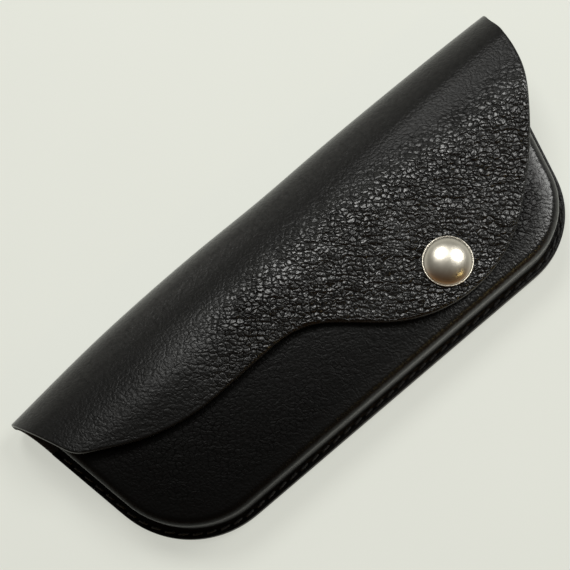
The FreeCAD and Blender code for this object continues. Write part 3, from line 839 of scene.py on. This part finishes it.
def front_profile(inset):
    """Middle surface from the seam edge to the top, as (inset, height) and distance walked."""
    wall = inset + HALF
    top = FRONT_TOP - HALF
    flange = list(EDGE_RINGS)
    valley_start = wall - VALLEY_RADIUS
    flange += list(np.linspace(0.95, valley_start, 10)[:-1])
    rows = [(gap, FLANGE_MIDDLE) for gap in flange]
    for share in np.linspace(0, 1, 7):
        angle = share * math.pi / 2
        rows.append((valley_start + VALLEY_RADIUS * math.sin(angle),
                     FLANGE_MIDDLE + VALLEY_RADIUS * (1 - math.cos(angle))))
    shoulder_z = top - SHOULDER_RADIUS
    for share in np.linspace(0, 1, 7)[1:-1]:
        rows.append((wall, FLANGE_MIDDLE + VALLEY_RADIUS
                     + share * (shoulder_z - FLANGE_MIDDLE - VALLEY_RADIUS)))
    for share in np.linspace(0, 1, 15):
        angle = share * SHOULDER_TURN
        rows.append((wall + SHOULDER_RADIUS * (1 - math.cos(angle)),
                     shoulder_z + SHOULDER_RADIUS * math.sin(angle)))
    rows = np.array(rows)
    walked = np.concatenate([[0], np.cumsum(np.linalg.norm(np.diff(rows, axis=0), axis=1))])
    return rows, walked


def crown_height(distance):
    """Rise of the moulded top at a distance from the end of its shoulder."""
    share = np.clip(distance / CROWN_REACH, 0, 1)
    return CROWN * (1 - (1 - share) ** 2)


def make_front():
    """Moulded front: rings from the seam edge over flange, wall and shoulder, with a crowned top inside."""
    path, fine = front_path()
    inward = inward_normals(path)
    level = np.stack([-np.sign(path[:, 0]) / np.abs(inward[:, 0]).clip(0.5), np.zeros(len(path))], 1)
    weight = (1 - smooth_step(4, 14, MOUTH_Y - path[:, 1]))[:, None]
    direction = level * weight + inward * (1 - weight)
    insets = wall_insets(path, inward)
    profiles = [front_profile(inset) for inset in insets]
    rings = len(profiles[0][0])
    count = len(path)
    middle, flat, distance = [], [], []
    to_mouth = MOUTH_Y - path[:, 1]
    unrolled_edge = np.array([rows[-1, 0] - walked[-1] for rows, walked in profiles])
    for ring in range(rings):
        gap = np.array([profile[0][ring, 0] for profile in profiles])
        height = np.array([profile[0][ring, 1] for profile in profiles])
        walked = np.array([profile[1][ring] for profile in profiles])
        place = path + direction * gap[:, None]
        middle.append(np.column_stack([place, height]))
        flat.append((path + direction * (unrolled_edge + walked)[:, None]) * [1, -1] + [0, 200])
        distance.append(np.minimum(walked, to_mouth))
    middle, flat, distance = (np.concatenate(values) for values in (middle, flat, distance))
    faces = []
    for ring in range(rings - 1):
        for place in range(count - 1):
            low, high = ring * count, (ring + 1) * count
            faces.append((low + place, low + place + 1, high + place + 1, high + place))
    last = middle[-count:, :2]
    top_z = middle[-count:, 2].mean()
    grid, edges = [], [(place, place + 1) for place in range(count - 1)]
    for row in range(fine):
        left, right = last[row], last[count - 1 - row]
        columns = int((right[0] - left[0]) / 1.6)
        first = count + len(grid)
        grid += [(x, left[1]) for x in np.linspace(left[0], right[0], columns + 1)[1:-1]]
        chain = [row] + list(range(first, count + len(grid))) + [count - 1 - row]
        edges += list(zip(chain[:-1], chain[1:]))
    outside = []
    lowest = last[:, 1].min()
    for index, height in enumerate(np.arange(MOUTH_Y - 2.8, lowest, -1.4)):
        outside += [(x, height) for x in np.arange(-85 + 0.7 * (index % 2), 86, 1.5)]
    outside = np.array(outside)
    outside = outside[inside_polygon(outside, last)]
    outside = outside[distance_to_path(outside, last) > 0.7]
    free = np.concatenate([np.array(grid), outside])
    offset = len(middle) - count
    for face in triangulate(np.concatenate([last, free]), edges):
        faces.append(tuple(offset + corner for corner in face))
    from_shoulder = distance_to_path(free, last)
    from_snap = np.hypot(*(free - SNAP).T)
    rise = crown_height(from_shoulder)
    seat = 1 - smooth_step(4.6, 15, from_snap)
    rise *= 1 - 0.9 * smooth_step(-3.4, 14.6, free[:, 1])
    height = top_z + rise * (1 - seat) - STUD_SEAT * (1 - smooth_step(4.2, 5.6, from_snap))
    middle = np.concatenate([middle, np.column_stack([free, height])])
    flat = np.concatenate([flat, free * [1, -1] + [0, 200]])
    distance = np.concatenate([distance, MOUTH_Y - free[:, 1]])
    hide = Hide(middle, flat, distance, faces)
    from_wall = np.concatenate([np.zeros(len(middle) - len(free)), from_shoulder])
    slow = wobble(middle, 30, 1) * 0.18 * smooth_step(1, 14, from_wall)
    groove = -GROOVE_DEPTH * bell(distance_to_path(middle[:, :2], path) - SEAM_INSET, 0.38)
    groove *= middle[:, 2] < FLANGE_MIDDLE + 1.0
    relief = slow + groove
    depth = 0.10 + 0.35 * smooth_step(10, 75, middle[:, 0]) + 0.06 * wobble(middle, 12, 5)
    depth *= smooth_step(0.5, 6, from_wall)
    depth *= smooth_step(0.7, 2.0, distance)
    points, sided, flat, depths = hide.thicken(relief, -slow, depth)
    on_top = smooth_step(FRONT_TOP - 0.1, FRONT_TOP + 0.35, points[:, 2])
    calm = 1.2 - (1.15 - 0.7 * on_top) * smooth_step(-60, 80, flat[:, 0])
    calm = np.maximum(calm, 0.9 * (1 - smooth_step(FLANGE_MIDDLE + 2, FRONT_TOP - 2, points[:, 2])))
    piece = leather_object("front_leather", points, sided, flat, depths, calm, np.zeros(len(points)))
    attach(piece, "pouch")
    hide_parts("front_panel")


# ---------------------------------------------------------------- stitches


def islands(node):
    """Centre, direction and half length of each separate solid in a node of short rods."""
    mesh = frame["nodes"][node].data
    points = np.array([vertex.co for vertex in mesh.vertices]) / MM
    keys = {}
    alias = [keys.setdefault(tuple(np.round(point, 3)), index) for index, point in enumerate(points)]
    parent = list(range(len(points)))

    def root(index):
        while parent[index] != index:
            parent[index] = parent[parent[index]]
            index = parent[index]
        return index

    for polygon in mesh.polygons:
        first = root(alias[polygon.vertices[0]])
        for corner in polygon.vertices[1:]:
            parent[root(alias[corner])] = first
    groups = {}
    for index in range(len(points)):
        groups.setdefault(root(alias[index]), []).append(index)
    rods = []
    for members in groups.values():
        cloud = points[members]
        centre = (cloud.max(0) + cloud.min(0)) / 2
        _, _, axes = np.linalg.svd(cloud - cloud.mean(0))
        direction = axes[0] * (1 if axes[0][0] + axes[0][1] * 0.1 > 0 else -1)
        rods.append((centre, direction, np.abs((cloud - centre) @ direction).max()))
    return sorted(rods, key=lambda rod: math.atan2(rod[0][1], rod[0][0]))


def seam_inset():
    """Distance of the stitches from the seam edge."""
    outline = free_side("back_panel", 0.0, ROLL_Y)
    centres = np.array([rod[0][:2] for rod in islands("seam_thread_front")])
    return float(distance_to_path(centres, outline).mean())


def stitch(centre, direction, half, radius, up):
    """Points and faces of one twisted stitch whose ends dive into the leather."""
    side = np.cross([0, 0, 1], direction)
    slant = math.radians(7)
    heading = direction * math.cos(slant) + side * math.sin(slant)
    side = np.cross([0, 0, 1], heading)
    sections, around = 15, 12
    points = []
    for share in np.linspace(-1, 1, sections):
        lift = 0.10 - 0.75 * abs(share) ** 6
        middle = centre + heading * half * 1.08 * share + np.array([0, 0, up * lift])
        twist = share * 5.0
        thin = 1 - 0.25 * abs(share) ** 4
        for step in range(around):
            angle = 2 * math.pi * step / around
            lobes = 1 + 0.16 * math.cos(2 * (angle - twist))
            reach = radius * thin * lobes
            points.append(middle + side * reach * math.cos(angle) + np.array([0, 0, reach * math.sin(angle)]))
    faces = []
    for section in range(sections - 1):
        for step in range(around):
            after = (step + 1) % around
            low, high = section * around, (section + 1) * around
            faces.append((low + step, high + step, high + after, low + after))
    faces.append(tuple(range(around)))
    faces.append(tuple(reversed(range((sections - 1) * around, sections * around))))
    return points, faces


def make_stitches(node, name, up, radius):
    """All stitches of one face of the seam."""
    points, faces = [], []
    for centre, direction, half in islands(node):
        more, sides = stitch(centre, direction, half, radius, up)
        offset = len(points)
        points += more
        faces += [tuple(offset + corner for corner in face) for face in sides]
    piece = new_object(name, points, faces)
    piece.data.materials.append(MATERIALS["thread"])
    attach(piece, "pouch")
    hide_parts(node)


SEAM_INSET = seam_inset()
make_front()
make_stitches("seam_thread_front", "front_stitches", 1, 0.36)
make_stitches("seam_thread_back", "back_stitches", -1, 0.22)

# ---------------------------------------------------------------- snap

CAP_BEAD = 0.16                    # radius of the rolled rim
CAP_WALL = 0.37


def turned(name, profile, centre, steps=128):
    """Solid of revolution about an upright axis, from (radius, height) points that start on the axis."""
    x, y = centre
    points = [(x, y, profile[0][1])]
    faces = []
    for radius, height in profile[1:-1]:
        for step in range(steps):
            angle = 2 * math.pi * step / steps
            points.append((x + radius * math.cos(angle), y + radius * math.sin(angle), height))
    points.append((x, y, profile[-1][1]))
    rows = len(profile) - 2
    for step in range(steps):
        after = (step + 1) % steps
        faces.append((0, 1 + step, 1 + after))
        for row in range(rows - 1):
            low, high = 1 + row * steps, 1 + (row + 1) * steps
            faces.append((low + step, high + step, high + after, low + after))
        low = 1 + (rows - 1) * steps
        faces.append((low + step, len(points) - 1, low + after))
    return new_object(name, points, faces)


def cap_profile():
    """Outline of the cap: a dome, fuller towards its foot, a narrow groove, a rolled rim and the hollow."""
    top = CAP_HIGH[2]
    seat = CAP_LOW[2]
    foot_radius = CAP_RADIUS - 0.42
    foot = seat + 0.95
    spread = foot_radius + 0.45
    lowest = math.sqrt(1 - (foot_radius / spread) ** 2)
    drop = (top - foot) / (1 - lowest)
    end = math.asin(foot_radius / spread)
    outer = [(spread * math.sin(end * share), top - drop * (1 - math.cos(end * share)))
             for share in np.linspace(0, 1, 48)]
    centre_r, centre_z = CAP_RADIUS - CAP_BEAD, seat + 0.62
    rim = [(centre_r + CAP_BEAD * math.cos(angle), centre_z + CAP_BEAD * math.sin(angle))
           for angle in np.linspace(math.radians(150), math.radians(-60), 14)]
    skirt = [(CAP_RADIUS - 0.22, seat), (CAP_RADIUS - 0.9, seat)]
    inner = [(radius * 0.94, height - CAP_WALL) for radius, height in reversed(outer[1:])]
    return outer + rim + skirt + inner + [(0, top - CAP_WALL)]


def make_snap():
    """The cap gets a smooth mesh. The other snap pieces keep their CAD shape and get plated metal."""
    cap = turned("domed_cap", cap_profile(), SNAP)
    cap.data.materials.append(MATERIALS["nickel"])
    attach(cap, "flap")
    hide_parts("snap_cap")
    for node in ("snap_cap_post", "snap_socket", "snap_stud", "snap_eyelet", "socket_spring"):
        mesh = frame["nodes"][node].data
        mesh.materials.clear()
        mesh.materials.append(MATERIALS["wire" if node == "socket_spring" else "nickel"])


make_snap()

# ---------------------------------------------------------------- floor, light and camera

CAMERA_PLACE = np.array([-43.1, -82.9, 479.2])
CAMERA_AIM = np.array([-5.55, 10.9, 10.0])
CAMERA_UP_ANGLE = 48.98
CAMERA_LENS = 105.5
LIGHT_REACH = 900                  # from the snap to each light
DAYLIGHT = (1.0, 1.0, 0.97)
LAMPLIGHT = (1.0, 0.75, 0.3)
FLOOR_REACH = 8000


def aim(thing, place, target, up):
    """Put a camera or light at a place, in millimetres, looking at a target."""
    forward = Vector(target) - Vector(place)
    forward.normalize()
    right = forward.cross(Vector(up)).normalized()
    upward = right.cross(forward)
    turn = Matrix((right, upward, -forward)).transposed()
    thing.matrix_world = Matrix.Translation(Vector(place) * MM) @ turn.to_4x4()


def make_floor():
    corners = [(x * FLOOR_REACH, y * FLOOR_REACH, 0) for x, y in ((-1, -1), (1, -1), (1, 1), (-1, 1))]
    floor = new_object("floor", corners, [(0, 1, 2, 3)])
    floor.data.materials.append(MATERIALS["surface"])


def make_camera():
    camera = bpy.data.objects.new("camera", bpy.data.cameras.new("camera"))
    bpy.context.scene.collection.objects.link(camera)
    camera.data.lens = CAMERA_LENS
    camera.data.sensor_width = 36
    camera.data.clip_start = 0.01
    angle = math.radians(CAMERA_UP_ANGLE)
    aim(camera, CAMERA_PLACE, CAMERA_AIM, (math.cos(angle), math.sin(angle), 0))
    bpy.context.scene.camera = camera


def softbox(name, direction, reach, spread, radiance, colour):
    """Round light of even brightness in a direction from the snap, spread degrees from middle to rim."""
    light = bpy.data.lights.new(name, "AREA")
    light.shape = "DISK"
    light.size = 2 * reach * math.tan(math.radians(spread)) * MM
    light.energy = radiance * math.pi * math.pi * light.size ** 2 / 4
    light.color = colour
    lamp = bpy.data.objects.new(name, light)
    bpy.context.scene.collection.objects.link(lamp)
    middle = Vector((*SNAP, CAP_LOW[2]))
    aim(lamp, middle + Vector(direction).normalized() * reach, middle, (0.05, 1, 0.1))


def make_world():
    """Room: pale near the horizon behind the case, warm and dark in front of it, and dark overhead."""
    world = bpy.data.worlds.new("studio")
    bpy.context.scene.world = world
    tree = Tree(world)
    background = tree.nodes["Background"]
    where = tree.nodes.new("ShaderNodeTexCoord").outputs["Generated"]
    across = tree.nodes.new("ShaderNodeVectorMath")
    across.operation = "DOT_PRODUCT"
    across.inputs[1].default_value = (0.66, 0.75, 0.0)
    tree.links.new(where, across.inputs[0])
    behind = tree.map_range(across.outputs["Value"], (-0.65, 0.15), (0.0, 1.0))
    tint = tree.mix_colours(behind, (0.25, 0.12, 0.036), (0.78, 0.78, 0.72))
    tree.links.new(tint, background.inputs["Color"])
    split = tree.nodes.new("ShaderNodeSeparateXYZ")
    tree.links.new(where, split.inputs[0])
    strength = tree.map_range(split.outputs["Z"], (0.0, 0.6), (1.0, 0.2))
    tree.links.new(strength, background.inputs["Strength"])


make_floor()
make_camera()
make_world()
softbox("back_window", (0.114, 0.533, 0.839), LIGHT_REACH, 10, 13, DAYLIGHT)
softbox("right_window", (0.55, 0.01, 0.835), LIGHT_REACH, 12, 9, DAYLIGHT)
softbox("warm_lamp", (0.16, -0.73, 0.67), LIGHT_REACH, 3.5, 8.0, LAMPLIGHT)
bpy.context.scene.view_settings.view_transform = "Standard"
